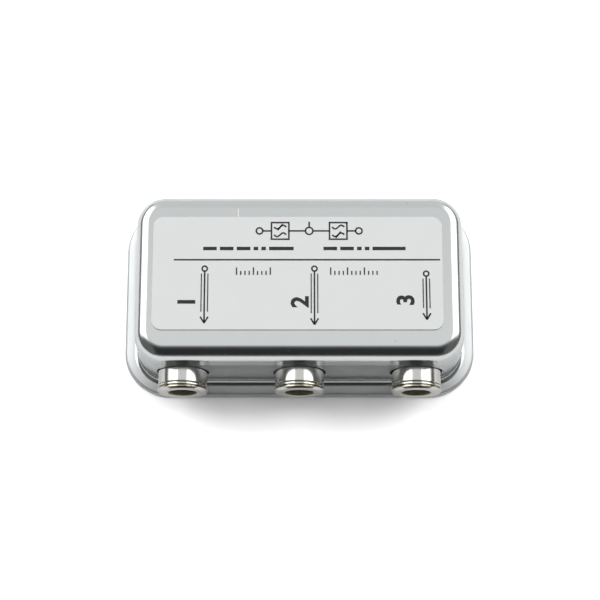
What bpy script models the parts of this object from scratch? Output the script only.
"""Antenna diplexer: a deep-drawn metal can on a flat base plate, with three threaded
coaxial jacks in its front wall and a filter board inside.

Metres, +Z up. The origin is the middle of the base plate's underside, the jacks face -Y.
"""
import math

import bmesh
import bpy
from mathutils import Vector

MM = 0.001

# Drawn can
CAN_LENGTH = 101.7 * MM         # outside, along X, where the top rounding meets the wall
CAN_WIDTH = 52.6 * MM           # outside, along Y, at the same level
CAN_HEIGHT = 31.2 * MM          # from the surface it stands on to the flat top
CAN_CORNER = 9.2 * MM           # plan radius of the four upright corners
TOP_EDGE_RADIUS = 4.4 * MM      # rounding between the top and the walls
WALL_DRAFT = math.radians(1.4)  # the walls lean out by this much towards the foot
SHEET = 0.8 * MM                # thickness of the can's sheet
FOOT_RADIUS = 1.4 * MM          # hollow fillet between the wall and the flange
FLANGE = 4.8 * MM               # width of the flange beyond the foot of the wall
RIM_RADIUS = 1.7 * MM           # outer edge of the flange, turned down over the base plate
CLEARANCE = 0.3 * MM            # between pieces that touch

# Base plate and label
PLATE = 0.8 * MM
PLATE_EDGE = 0.3 * MM           # chamfer of the plate's edges
LABEL_END_MARGIN = 1.6 * MM     # from the ends of the flat top
LABEL_SIDE_MARGIN = 3.7 * MM    # from its long sides
LABEL_THICKNESS = 0.25 * MM
LABEL_CORNER = 2.4 * MM
LABEL_SHIFT = (-0.6 * MM, 0.7 * MM)

# Coaxial jacks: stations are measured along the jack's axis from the wall's outer face
JACK_COUNT = 3
JACK_END = 14.35 * MM           # from the can's end to the axis of the jack nearest to it
JACK_HEIGHT = 14.6 * MM         # of the axis above the base, where it leaves the wall
JACK_REACH = 7.0 * MM           # from the wall to the mouth
BARREL_RADIUS = 7.65 * MM
BARREL_GAP = 0.55 * MM          # between the barrel and the hole in the wall
THREAD_RADIUS = 7.94 * MM       # crest of the outer thread
THREAD_PITCH = 1.06 * MM
THREAD_DEPTH = 0.6 * MM
THREAD_TURNS = 2
THREAD_CREST = 0.25 * MM        # flat on each crest
MOUTH_BEVEL = 0.6 * MM          # along the axis
MOUTH_BEVEL_DEPTH = 0.85 * MM   # across it
BORE_RADIUS = 4.35 * MM
BORE_BEVEL = 0.4 * MM
NECK_RADIUS = 6.6 * MM          # through the carrier, behind the barrel
BEAD_DEPTH = 7.6 * MM           # from the mouth to the face of the insulating bead
BEAD_LENGTH = 3.8 * MM
BEAD_STEP = 0.7 * MM            # step in the bore that the bead sits against
BUSH_LENGTH = 1.6 * MM          # pressed in behind the bead
BUSH_WALL = 0.8 * MM
BUSH_RECESS = 0.7 * MM          # from the back of the jack to the bush
CONTACT_RADIUS = 1.55 * MM
CONTACT_RECESS = 4.8 * MM       # from the mouth to the tip of the centre contact
CONTACT_BORE = 0.83 * MM
CONTACT_SOCKET = 3.4 * MM       # depth of the contact's bore
CONTACT_SLOT = 0.34 * MM
CONTACT_SLOT_LENGTH = 2.4 * MM
CONTACT_TIP_BEVEL = 0.3 * MM
TAIL_RADIUS = 0.6 * MM          # rear end of the contact, soldered to the board
TAIL_LENGTH = 5.6 * MM          # behind the jack
NUT_RADIUS = 8.6 * MM           # across the flats, halved
NUT_LENGTH = 2.4 * MM
JACK_SEGMENTS = 40
SMALL_SEGMENTS = 20

# Carrier: an angle of sheet behind the front wall that holds the jacks
CARRIER = 1.5 * MM
CARRIER_SETBACK = 2.3 * MM      # from the wall's outer face to the carrier's front
CARRIER_END = 5.85 * MM         # from the can's end to the carrier's
CARRIER_RISE = 9.4 * MM         # from the jacks' axis to the carrier's top
CARRIER_FOOT = 7.0 * MM
CARRIER_BEND = 1.8 * MM

# Board and what it carries
BOARD = 1.6 * MM
BOARD_MARGIN = 2.2 * MM         # from the inside of the can
BOARD_JACK_GAP = 1.1 * MM       # from the back of the jacks
BOARD_CORNER = 4.0 * MM
STANDOFF_RADIUS = 3.0 * MM      # across the flats, halved
STANDOFF_INSET = 5.5 * MM       # from the board's edges
SHIELD_SHARE = 0.23             # its place, as the coils' below
SHIELD = 0.6 * MM
SHIELD_ROOF_GAP = 2.8 * MM      # from the shield to the inside of the can's top
SHIELD_FOOT = 4.0 * MM
SHIELD_BEND = 1.0 * MM
SHIELD_MARGIN = 5.0 * MM        # from the board's front and back edges
COIL_SHARES = (-0.81, -0.54, -0.27, 0.0)  # places along the board, as shares of half its length
COIL_INSET = 11.3 * MM          # from the board's back edge to the middle of the coils
COIL_RADIUS = 3.6 * MM          # to the middle of the wire
COIL_WIRE = 0.5 * MM            # radius of the wire
COIL_TURNS = 4
COIL_TURN_POINTS = 10
COIL_PITCH = 1.8 * MM
TRIMMER_SHARES = (-0.61, -0.2)
TRIMMER_RADIUS = 3.4 * MM
TRIMMER_HEIGHT = 5.0 * MM
TRIMMER_BEVEL = 0.4 * MM
TRIMMER_SLOT = 0.8 * MM
TRIMMER_SLOT_DEPTH = 1.0 * MM
CAPACITOR = (5.0 * MM, 3.4 * MM, 2.4 * MM)
CAPACITOR_SHARES = (-0.81, -0.405, 0.0)
ROW_GAP = 3.3 * MM              # from the jacks' contacts to the row of trimmers
SMALL_BEVEL = 0.35 * MM
FILTER_BLOCK = (16.0 * MM, 9.0 * MM, 5.6 * MM)
FILTER_SHARE = 0.61
FILTER_INSET = 14.3 * MM
FILTER_BORE_RADIUS = 1.2 * MM
FILTER_BORE_PITCH = 4.8 * MM
FILTER_BORES = 3

# Worked out for the can
FLANGE_TOP = PLATE + CLEARANCE + SHEET
WALL_TOP = CAN_HEIGHT - TOP_EDGE_RADIUS


def wall_spread(height):
    """How much further out the wall lies at this height than at its top."""
    return (WALL_TOP - height) * math.tan(WALL_DRAFT)


def grown(half, amount):
    return Vector((half.x + amount, half.y + amount))


HALF_TOP = Vector((CAN_LENGTH / 2, CAN_WIDTH / 2))
FOOT_SPREAD = wall_spread(FLANGE_TOP)
HALF_FOOT = grown(HALF_TOP, FOOT_SPREAD)
HALF_RIM = grown(HALF_FOOT, FLANGE)
FOOT_CORNER = CAN_CORNER + FOOT_SPREAD
RIM_CORNER = FOOT_CORNER + FLANGE

# Worked out for a jack, along its axis, positive towards the mouth
BARREL_BACK = -CARRIER_SETBACK + CLEARANCE
NUT_FRONT = -CARRIER_SETBACK - CARRIER - CLEARANCE
NUT_BACK = NUT_FRONT - NUT_LENGTH
BEAD_FRONT = JACK_REACH - BEAD_DEPTH
BEAD_BACK = BEAD_FRONT - BEAD_LENGTH
BUSH_FRONT = BEAD_BACK - CLEARANCE
BUSH_BACK = BUSH_FRONT - BUSH_LENGTH
JACK_BACK = BUSH_BACK - BUSH_RECESS
BEAD_RADIUS = BORE_RADIUS + BEAD_STEP
CONTACT_TIP = JACK_REACH - CONTACT_RECESS
TAIL_END = JACK_BACK - TAIL_LENGTH
WALL_HOLE_RADIUS = BARREL_RADIUS + BARREL_GAP
JACK_WALL_Y = -(HALF_TOP.y + wall_spread(JACK_HEIGHT))
JACK_PITCH = (CAN_LENGTH - 2 * JACK_END) / (JACK_COUNT - 1)
JACK_XS = [JACK_PITCH * (index - (JACK_COUNT - 1) / 2) for index in range(JACK_COUNT)]
CARRIER_LENGTH = CAN_LENGTH - 2 * CARRIER_END
LABEL_HALF = Vector((HALF_TOP.x - TOP_EDGE_RADIUS - LABEL_END_MARGIN,
                     HALF_TOP.y - TOP_EDGE_RADIUS - LABEL_SIDE_MARGIN))

# The board lies just under the contacts' tails, and its parts keep their shares of its length
BOARD_TOP = JACK_HEIGHT - TAIL_RADIUS - CLEARANCE
BOARD_UNDER = BOARD_TOP - BOARD
BOARD_FRONT_Y = JACK_WALL_Y - JACK_BACK + BOARD_JACK_GAP
BOARD_BACK_Y = HALF_TOP.y - SHEET - BOARD_MARGIN
BOARD_MID_Y = (BOARD_FRONT_Y + BOARD_BACK_Y) / 2
BOARD_HALF = Vector((HALF_TOP.x - SHEET - BOARD_MARGIN, (BOARD_BACK_Y - BOARD_FRONT_Y) / 2))
ON_BOARD = BOARD_TOP + CLEARANCE
ROW_Y = JACK_WALL_Y - TAIL_END + ROW_GAP + TRIMMER_RADIUS
COIL_Y = BOARD_BACK_Y - COIL_INSET
FILTER_Y = BOARD_BACK_Y - FILTER_INSET
SHIELD_HEIGHT = CAN_HEIGHT - SHEET - SHIELD_ROOF_GAP - ON_BOARD - SHIELD


def along_board(share):
    return share * BOARD_HALF.x


def clear_scene():
    for item in list(bpy.data.objects):
        bpy.data.objects.remove(item, do_unlink=True)


def new_collection(name):
    collection = bpy.data.collections.new(name)
    bpy.context.scene.collection.children.link(collection)
    return collection


clear_scene()
PARTS = new_collection("antenna_diplexer")
CUTTERS = new_collection("cutters")


def make_material(name, colour, roughness, metallic):
    material = bpy.data.materials.new(name)
    material.use_nodes = True
    shader = material.node_tree.nodes["Principled BSDF"]
    shader.inputs["Base Color"].default_value = (*colour, 1.0)
    shader.inputs["Roughness"].default_value = roughness
    shader.inputs["Metallic"].default_value = metallic
    return material


CAN_METAL = make_material("nickel_plated_steel", (0.60, 0.60, 0.59), 0.16, 1.0)
JACK_METAL = make_material("nickel_plated_brass", (0.64, 0.62, 0.56), 0.14, 1.0)
PLATE_METAL = make_material("tinned_steel", (0.55, 0.55, 0.55), 0.35, 1.0)
LABEL_FILM = make_material("label_film", (0.70, 0.70, 0.71), 0.45, 0.0)
FLUOROPOLYMER = make_material("fluoropolymer", (0.82, 0.81, 0.78), 0.45, 0.0)
GOLD_PLATE = make_material("gold_plated_bronze", (0.78, 0.58, 0.26), 0.22, 1.0)
BOARD_LAMINATE = make_material("glass_epoxy", (0.05, 0.19, 0.08), 0.40, 0.0)
COIL_COPPER = make_material("enamelled_copper", (0.60, 0.27, 0.14), 0.28, 1.0)
CERAMIC = make_material("fired_ceramic", (0.66, 0.58, 0.44), 0.50, 0.0)
STANDOFF_BRASS = make_material("turned_brass", (0.62, 0.49, 0.26), 0.30, 1.0)


def link_part(name, mesh, material, smooth_angle=30.0):
    """A named piece; faces that meet at less than the angle are shaded smooth."""
    part = bpy.data.objects.new(name, mesh)
    mesh.materials.clear()
    mesh.materials.append(material)
    mesh.shade_smooth()
    mesh.set_sharp_from_angle(angle=math.radians(smooth_angle))
    PARTS.objects.link(part)
    return part


def add_cutter(name, mesh):
    cutter = bpy.data.objects.new(name, mesh)
    cutter.hide_render = True
    cutter.display_type = 'WIRE'
    CUTTERS.objects.link(cutter)
    return cutter


def cut(part, cutter):
    """Subtract a cutter with an exact boolean that stays live on the part."""
    modifier = part.modifiers.new("cut_" + cutter.name, 'BOOLEAN')
    modifier.operation = 'DIFFERENCE'
    modifier.solver = 'EXACT'
    modifier.object = cutter


def finish_mesh(bm, name):
    mesh = bpy.data.meshes.new(name)
    bm.to_mesh(mesh)
    bm.free()
    return mesh


def box_mesh(name, size, centre, bevel=0.0):
    """A box, its edges rounded by one facet where a bevel is given."""
    bm = bmesh.new()
    bmesh.ops.create_cube(bm, size=1.0)
    bmesh.ops.scale(bm, vec=size, verts=bm.verts)
    if bevel > 0.0:
        bmesh.ops.bevel(bm, geom=bm.edges[:], offset=bevel, segments=1, profile=0.5,
                        affect='EDGES')
    bmesh.ops.translate(bm, vec=centre, verts=bm.verts)
    return finish_mesh(bm, name)


def cylinder_mesh(name, radius, low, high, segments):
    """A cylinder along Z between two heights."""
    bm = bmesh.new()
    bmesh.ops.create_cone(bm, cap_ends=True, segments=segments, radius1=radius,
                          radius2=radius, depth=high - low)
    bmesh.ops.translate(bm, vec=(0, 0, (low + high) / 2), verts=bm.verts)
    return finish_mesh(bm, name)


def upright_edges(bm):
    """Edges that run more up than across."""
    def climbs(edge):
        run = edge.verts[0].co - edge.verts[1].co
        return abs(run.z) > run.xy.length
    return [edge for edge in bm.edges if climbs(edge)]


def plate_mesh(name, half, corner, low, high, corner_segments, edge_bevel=0.0):
    """A flat plate, round-cornered in plan, its upper and lower edges chamfered if asked."""
    bm = bmesh.new()
    bmesh.ops.create_cube(bm, size=1.0)
    bmesh.ops.scale(bm, vec=(2 * half.x, 2 * half.y, high - low), verts=bm.verts)
    bmesh.ops.bevel(bm, geom=upright_edges(bm), offset=corner, segments=corner_segments,
                    profile=0.5, affect='EDGES')
    if edge_bevel > 0.0:
        uprights = set(upright_edges(bm))
        rims = [edge for edge in bm.edges if edge not in uprights]
        bmesh.ops.bevel(bm, geom=rims, offset=edge_bevel, segments=1, profile=0.5,
                        affect='EDGES')
    bmesh.ops.translate(bm, vec=(0, 0, (low + high) / 2), verts=bm.verts)
    return finish_mesh(bm, name)


def turned_part(name, profile, material, segments):
    """A piece turned about Z from (radius, height) points.

    The profile runs down the outer side. It comes back up a bore to where it began, or
    it begins and ends on the axis.
    """
    mesh = bpy.data.meshes.new(name)
    count = len(profile)
    has_bore = profile[0][0] > 0.0
    edges = [(index, (index + 1) % count) for index in range(count if has_bore else count - 1)]
    mesh.from_pydata([(radius, 0.0, height) for radius, height in profile], edges, [])
    part = link_part(name, mesh, material)
    screw = part.modifiers.new("turn", 'SCREW')
    screw.axis = 'Z'
    screw.steps = segments
    screw.render_steps = segments
    screw.use_merge_vertices = True
    screw.merge_threshold = 0.01 * MM
    return part


def plan_normal(point, half, corner):
    """Outward direction in plan at a point of a round-cornered outline."""
    inner = grown(half, -corner)
    nearest = Vector((max(-inner.x, min(inner.x, point.x)), max(-inner.y, min(inner.y, point.y))))
    return (Vector((point.x, point.y)) - nearest).normalized()


def spread(verts, half, corner, amount):
    for vert in verts:
        normal = plan_normal(vert.co, half, corner)
        vert.co.x += normal.x * amount
        vert.co.y += normal.y * amount


def extruded_verts(bm, edges):
    result = bmesh.ops.extrude_edge_only(bm, edges=edges)
    return [item for item in result["geom"] if isinstance(item, bmesh.types.BMVert)]


def round_over(bm, edges, radius, segments):
    bmesh.ops.bevel(bm, geom=edges, offset=radius, segments=segments, profile=0.5,
                    affect='EDGES')


def can_surface():
    """Outer face of the can: flat top, rounding, leaning wall, foot fillet, flange and rim."""
    bm = bmesh.new()
    bmesh.ops.create_cube(bm, size=1.0)
    wall = CAN_HEIGHT - FLANGE_TOP
    bmesh.ops.scale(bm, vec=(CAN_LENGTH, CAN_WIDTH, wall), verts=bm.verts)
    bmesh.ops.translate(bm, vec=(0, 0, FLANGE_TOP + wall / 2), verts=bm.verts)
    underside = [face for face in bm.faces if face.normal.z < -0.5]
    bmesh.ops.delete(bm, geom=underside, context='FACES_ONLY')
    bmesh.ops.bevel(bm, geom=upright_edges(bm), offset=CAN_CORNER, segments=8, profile=0.5,
                    affect='EDGES')

    # The top rounding first, then the draft moves only the foot of the wall
    top = max(bm.faces, key=lambda face: face.calc_center_median().z)
    round_over(bm, list(top.edges), TOP_EDGE_RADIUS, 6)
    foot_edges = [edge for edge in bm.edges if edge.is_boundary]
    spread({vert for edge in foot_edges for vert in edge.verts}, HALF_TOP, CAN_CORNER, FOOT_SPREAD)

    # The flange grows out of the foot, and its edge turns down to the surface it stands on
    spread(extruded_verts(bm, foot_edges), HALF_FOOT, FOOT_CORNER, FLANGE)
    round_over(bm, foot_edges, FOOT_RADIUS, 3)
    rim_edges = [edge for edge in bm.edges if edge.is_boundary]
    for vert in extruded_verts(bm, rim_edges):
        vert.co.z = 0.0
    round_over(bm, rim_edges, RIM_RADIUS, 4)

    bmesh.ops.recalc_face_normals(bm, faces=bm.faces)
    top = max(bm.faces, key=lambda face: face.calc_center_median().z)
    if top.normal.z < 0.0:
        bmesh.ops.reverse_faces(bm, faces=bm.faces)
    return finish_mesh(bm, "housing_cover")


def make_cover():
    """The can is its outer face given the sheet's thickness inwards, with a hole for each jack."""
    cover = link_part("housing_cover", can_surface(), CAN_METAL)
    wall = cover.modifiers.new("sheet", 'SOLIDIFY')
    wall.thickness = SHEET
    wall.offset = -1.0
    wall.use_even_offset = True
    hole = cylinder_mesh("wall_hole", WALL_HOLE_RADIUS, NUT_BACK, FLANGE, JACK_SEGMENTS)
    for index, axis in enumerate(JACK_AXES):
        cutter = add_cutter("wall_hole_%d" % (index + 1), hole)
        cutter.parent = axis
        cut(cover, cutter)


def make_base():
    inner = grown(HALF_RIM, -SHEET - CLEARANCE)
    mesh = plate_mesh("base_plate", inner, RIM_CORNER - SHEET - CLEARANCE, -PLATE / 2, PLATE / 2,
                      8, PLATE_EDGE)
    base = link_part("base_plate", mesh, PLATE_METAL)
    base.location.z = PLATE / 2


def make_label():
    mesh = plate_mesh("label", LABEL_HALF, LABEL_CORNER, 0.0, LABEL_THICKNESS, 5)
    label = link_part("label", mesh, LABEL_FILM)
    label.location = (*LABEL_SHIFT, CAN_HEIGHT + CLEARANCE)


def make_jack_axis(index):
    """An empty on the wall's outer face whose Z runs out along the jack."""
    axis = bpy.data.objects.new("jack_axis_%d" % (index + 1), None)
    axis.location = (JACK_XS[index], JACK_WALL_Y, JACK_HEIGHT)
    axis.rotation_euler = (math.radians(90), 0.0, 0.0)
    axis.empty_display_size = JACK_REACH
    PARTS.objects.link(axis)
    return axis


def jack_profile():
    """Half section of a jack: mouth, thread, barrel and neck, then back up the bore."""
    thread_end = JACK_REACH - MOUTH_BEVEL
    points = [(THREAD_RADIUS - MOUTH_BEVEL_DEPTH, JACK_REACH), (THREAD_RADIUS, thread_end)]
    half_crest = THREAD_CREST / 2
    for turn in range(THREAD_TURNS):
        crest = thread_end - half_crest - turn * THREAD_PITCH
        root = crest - THREAD_PITCH / 2
        points.append((THREAD_RADIUS, crest - half_crest))
        points.append((THREAD_RADIUS - THREAD_DEPTH, root + half_crest))
        points.append((THREAD_RADIUS - THREAD_DEPTH, root - half_crest))
        if turn + 1 < THREAD_TURNS:
            points.append((THREAD_RADIUS, crest - THREAD_PITCH + half_crest))
    runout = points[-1][1] - THREAD_DEPTH
    counterbore = BEAD_RADIUS + CLEARANCE
    points += [
        (BARREL_RADIUS, runout),
        (BARREL_RADIUS, BARREL_BACK),
        (NECK_RADIUS, BARREL_BACK),
        (NECK_RADIUS, JACK_BACK),
        (counterbore, JACK_BACK),
        (counterbore, BEAD_FRONT + CLEARANCE),
        (BORE_RADIUS, BEAD_FRONT + CLEARANCE),
        (BORE_RADIUS, JACK_REACH - BORE_BEVEL),
        (BORE_RADIUS + BORE_BEVEL, JACK_REACH),
    ]
    return points


def ring_profile(inner, outer, low, high):
    return [(outer, high), (outer, low), (inner, low), (inner, high)]


def contact_profile():
    """Half section of the centre contact: a tube at the front, a solid tail at the back."""
    socket = CONTACT_TIP - CONTACT_SOCKET
    return [
        (0.0, socket),
        (CONTACT_BORE, socket),
        (CONTACT_BORE, CONTACT_TIP),
        (CONTACT_RADIUS - CONTACT_TIP_BEVEL, CONTACT_TIP),
        (CONTACT_RADIUS, CONTACT_TIP - CONTACT_TIP_BEVEL),
        (CONTACT_RADIUS, BUSH_BACK),
        (TAIL_RADIUS, BUSH_BACK - CLEARANCE),
        (TAIL_RADIUS, TAIL_END),
        (0.0, TAIL_END),
    ]


def nut_mesh():
    across_corners = NUT_RADIUS / math.cos(math.radians(30))
    return cylinder_mesh("jack_nut", across_corners, NUT_BACK, NUT_FRONT, 6)


def make_jack(index, axis, slots):
    """Body, insulating bead, bush, centre contact and the nut behind the carrier."""
    suffix = "_%d" % (index + 1)
    body = turned_part("jack_body" + suffix, jack_profile(), JACK_METAL, JACK_SEGMENTS)
    bead = ring_profile(CONTACT_RADIUS + CLEARANCE, BEAD_RADIUS, BEAD_BACK, BEAD_FRONT)
    insulator = turned_part("jack_insulator" + suffix, bead, FLUOROPOLYMER, SMALL_SEGMENTS)
    bush = ring_profile(BEAD_RADIUS - BUSH_WALL, BEAD_RADIUS, BUSH_BACK, BUSH_FRONT)
    rear = turned_part("jack_bush" + suffix, bush, JACK_METAL, SMALL_SEGMENTS)
    contact = turned_part("jack_contact" + suffix, contact_profile(), GOLD_PLATE, SMALL_SEGMENTS)
    for number, slot in enumerate(slots):
        cutter = add_cutter("contact_slot%s_%d" % (suffix, number + 1), slot)
        cutter.parent = axis
        cut(contact, cutter)
    nut = link_part("jack_nut" + suffix, nut_mesh(), JACK_METAL)
    opening = cylinder_mesh("nut_bore", NECK_RADIUS + CLEARANCE, JACK_BACK, 0.0, JACK_SEGMENTS)
    nut_bore = add_cutter("nut_bore" + suffix, opening)
    cut(nut, nut_bore)
    for piece in (body, insulator, rear, contact, nut, nut_bore):
        piece.parent = axis


def make_jacks():
    wide = 3 * CONTACT_RADIUS
    centre = (0, 0, CONTACT_TIP - CONTACT_SLOT_LENGTH / 2 + CONTACT_RADIUS / 2)
    long = CONTACT_SLOT_LENGTH + CONTACT_RADIUS
    slots = [box_mesh("contact_slot_x", (wide, CONTACT_SLOT, long), centre),
             box_mesh("contact_slot_y", (CONTACT_SLOT, wide, long), centre)]
    for index, axis in enumerate(JACK_AXES):
        make_jack(index, axis, slots)


def make_board():
    mesh = plate_mesh("circuit_board", BOARD_HALF, BOARD_CORNER, -BOARD / 2, BOARD / 2, 3)
    board = link_part("circuit_board", mesh, BOARD_LAMINATE)
    board.location = (0, BOARD_MID_Y, BOARD_TOP - BOARD / 2)


def make_standoffs():
    """Hexagonal posts between the base plate and the board, one near each board corner."""
    low = PLATE + CLEARANCE
    high = BOARD_UNDER - CLEARANCE
    across_corners = STANDOFF_RADIUS / math.cos(math.radians(30))
    mesh = cylinder_mesh("standoff", across_corners, low, high, 6)
    reach = grown(BOARD_HALF, -STANDOFF_INSET)
    places = [(side_x * reach.x, BOARD_MID_Y + side_y * reach.y)
              for side_y in (-1, 1) for side_x in (-1, 1)]
    for number, place in enumerate(places):
        post = link_part("standoff_%d" % (number + 1), mesh, STANDOFF_BRASS)
        post.location = (*place, 0.0)


def angle_part(name, length, foot, height, bend, thickness, material):
    """Sheet bent to an angle, along X: its inner faces are y = 0 behind and z = 0 on top.

    The upright stands at the front and the foot runs back; the sheet's thickness lies
    in front of the upright and under the foot.
    """
    bm = bmesh.new()
    edge = bm.edges.new([bm.verts.new((side * length / 2, foot, 0.0)) for side in (-1, 1)])
    for step in ((0.0, -foot, 0.0), (0.0, 0.0, height)):
        result = bmesh.ops.extrude_edge_only(bm, edges=[edge])["geom"]
        moved = [item for item in result if isinstance(item, bmesh.types.BMVert)]
        bmesh.ops.translate(bm, vec=step, verts=moved)
        edge = next(item for item in result if isinstance(item, bmesh.types.BMEdge))
    round_over(bm, [edge for edge in bm.edges if len(edge.link_faces) == 2], bend, 3)
    bmesh.ops.recalc_face_normals(bm, faces=bm.faces)
    foot_face = min(bm.faces, key=lambda face: face.calc_center_median().z)
    if foot_face.normal.z < 0.0:
        bmesh.ops.reverse_faces(bm, faces=bm.faces)
    part = link_part(name, finish_mesh(bm, name), material)
    sheet = part.modifiers.new("sheet", 'SOLIDIFY')
    sheet.thickness = thickness
    sheet.offset = -1.0
    sheet.use_even_offset = True
    return part


def make_carrier():
    """The angle that the jacks' nuts clamp to, its foot on the base plate."""
    floor = PLATE + CLEARANCE + CARRIER
    foot = CARRIER_FOOT - CARRIER
    carrier = angle_part("jack_carrier", CARRIER_LENGTH, foot,
                         JACK_HEIGHT + CARRIER_RISE - floor, CARRIER_BEND, CARRIER, PLATE_METAL)
    carrier.location = (0.0, JACK_WALL_Y + CARRIER_SETBACK + CARRIER, floor)
    hole = cylinder_mesh("carrier_hole", NECK_RADIUS + CLEARANCE, NUT_BACK, 0.0, JACK_SEGMENTS)
    for index, axis in enumerate(JACK_AXES):
        cutter = add_cutter("carrier_hole_%d" % (index + 1), hole)
        cutter.parent = axis
        cut(carrier, cutter)


def make_shield():
    """A bent strip of tinned sheet that parts the two sides of the filter."""
    shield = angle_part("shield_wall", 2 * (BOARD_HALF.y - SHIELD_MARGIN), SHIELD_FOOT,
                        SHIELD_HEIGHT, SHIELD_BEND, SHIELD, PLATE_METAL)
    shield.location = (along_board(SHIELD_SHARE), BOARD_MID_Y, ON_BOARD + SHIELD)
    shield.rotation_euler = (0.0, 0.0, math.radians(90))


def coil_points():
    """A helix along Y, its two ends brought straight down to the board."""
    length = COIL_TURNS * COIL_PITCH
    steps = COIL_TURNS * COIL_TURN_POINTS
    axis_height = COIL_RADIUS + COIL_WIRE + CLEARANCE
    helix = []
    for step in range(steps + 1):
        angle = 2 * math.pi * step / COIL_TURN_POINTS
        helix.append((COIL_RADIUS * math.cos(angle), length * (step / steps - 0.5),
                      axis_height + COIL_RADIUS * math.sin(angle)))
    start, end = helix[0], helix[-1]
    leg = COIL_WIRE + COIL_PITCH / 2
    return ([(start[0], start[1] - leg, 0.0), (start[0], start[1] - leg, axis_height - leg)]
            + helix
            + [(end[0], end[1] + leg, axis_height - leg), (end[0], end[1] + leg, 0.0)])


def mesh_from_curve(curve):
    """The evaluated curve as a closed mesh, its end caps welded on; the curve is removed."""
    bpy.context.scene.collection.objects.link(curve)
    graph = bpy.context.evaluated_depsgraph_get()
    mesh = bpy.data.meshes.new_from_object(curve.evaluated_get(graph))
    bm = bmesh.new()
    bm.from_mesh(mesh)
    bmesh.ops.remove_doubles(bm, verts=bm.verts, dist=0.001 * MM)
    bmesh.ops.recalc_face_normals(bm, faces=bm.faces)
    bm.to_mesh(mesh)
    bm.free()
    bpy.data.objects.remove(curve, do_unlink=True)
    return mesh


def make_coils():
    data = bpy.data.curves.new("coil_wire", 'CURVE')
    data.dimensions = '3D'
    data.bevel_depth = COIL_WIRE
    data.bevel_resolution = 2
    data.use_fill_caps = True
    points = coil_points()
    spline = data.splines.new('POLY')
    spline.points.add(len(points) - 1)
    for point, place in zip(spline.points, points):
        point.co = (*place, 1.0)
    mesh = mesh_from_curve(bpy.data.objects.new("coil_wire", data))
    for number, share in enumerate(COIL_SHARES):
        coil = link_part("coil_%d" % (number + 1), mesh, COIL_COPPER)
        coil.location = (along_board(share), COIL_Y, ON_BOARD)


def make_trimmers():
    """Round trimmer capacitors with a screwdriver slot in the top."""
    top = TRIMMER_HEIGHT
    profile = [(0.0, top), (TRIMMER_RADIUS - TRIMMER_BEVEL, top),
               (TRIMMER_RADIUS, top - TRIMMER_BEVEL), (TRIMMER_RADIUS, 0.0), (0.0, 0.0)]
    slot = box_mesh("trimmer_slot", (4 * TRIMMER_RADIUS, TRIMMER_SLOT, 2 * TRIMMER_SLOT_DEPTH),
                    (0, 0, top))
    for number, share in enumerate(TRIMMER_SHARES):
        trimmer = turned_part("trimmer_%d" % (number + 1), profile, CERAMIC, SMALL_SEGMENTS)
        trimmer.location = (along_board(share), ROW_Y, ON_BOARD)
        cutter = add_cutter("trimmer_slot_%d" % (number + 1), slot)
        cutter.location = trimmer.location
        cut(trimmer, cutter)


def make_capacitors():
    mesh = box_mesh("capacitor", CAPACITOR, (0, 0, CAPACITOR[2] / 2), SMALL_BEVEL)
    for number, share in enumerate(CAPACITOR_SHARES):
        capacitor = link_part("capacitor_%d" % (number + 1), mesh, CERAMIC)
        capacitor.location = (along_board(share), ROW_Y, ON_BOARD)


def make_filter():
    """A ceramic resonator block with its row of bores, lying on the board."""
    mesh = box_mesh("ceramic_filter", FILTER_BLOCK, (0, 0, FILTER_BLOCK[2] / 2), SMALL_BEVEL)
    block = link_part("ceramic_filter", mesh, CERAMIC)
    block.location = (along_board(FILTER_SHARE), FILTER_Y, ON_BOARD)
    bore = cylinder_mesh("filter_bore", FILTER_BORE_RADIUS, -FILTER_BLOCK[1], FILTER_BLOCK[1],
                         SMALL_SEGMENTS)
    for number in range(FILTER_BORES):
        cutter = add_cutter("filter_bore_%d" % (number + 1), bore)
        offset = FILTER_BORE_PITCH * (number - (FILTER_BORES - 1) / 2)
        cutter.location = block.location + Vector((offset, 0, FILTER_BLOCK[2] / 2))
        cutter.rotation_euler = (math.radians(90), 0, 0)
        cut(block, cutter)


JACK_AXES = [make_jack_axis(index) for index in range(JACK_COUNT)]
make_cover()
make_base()
make_label()
make_jacks()
make_carrier()
make_board()
make_standoffs()
make_shield()
make_coils()
make_trimmers()
make_capacitors()
make_filter()
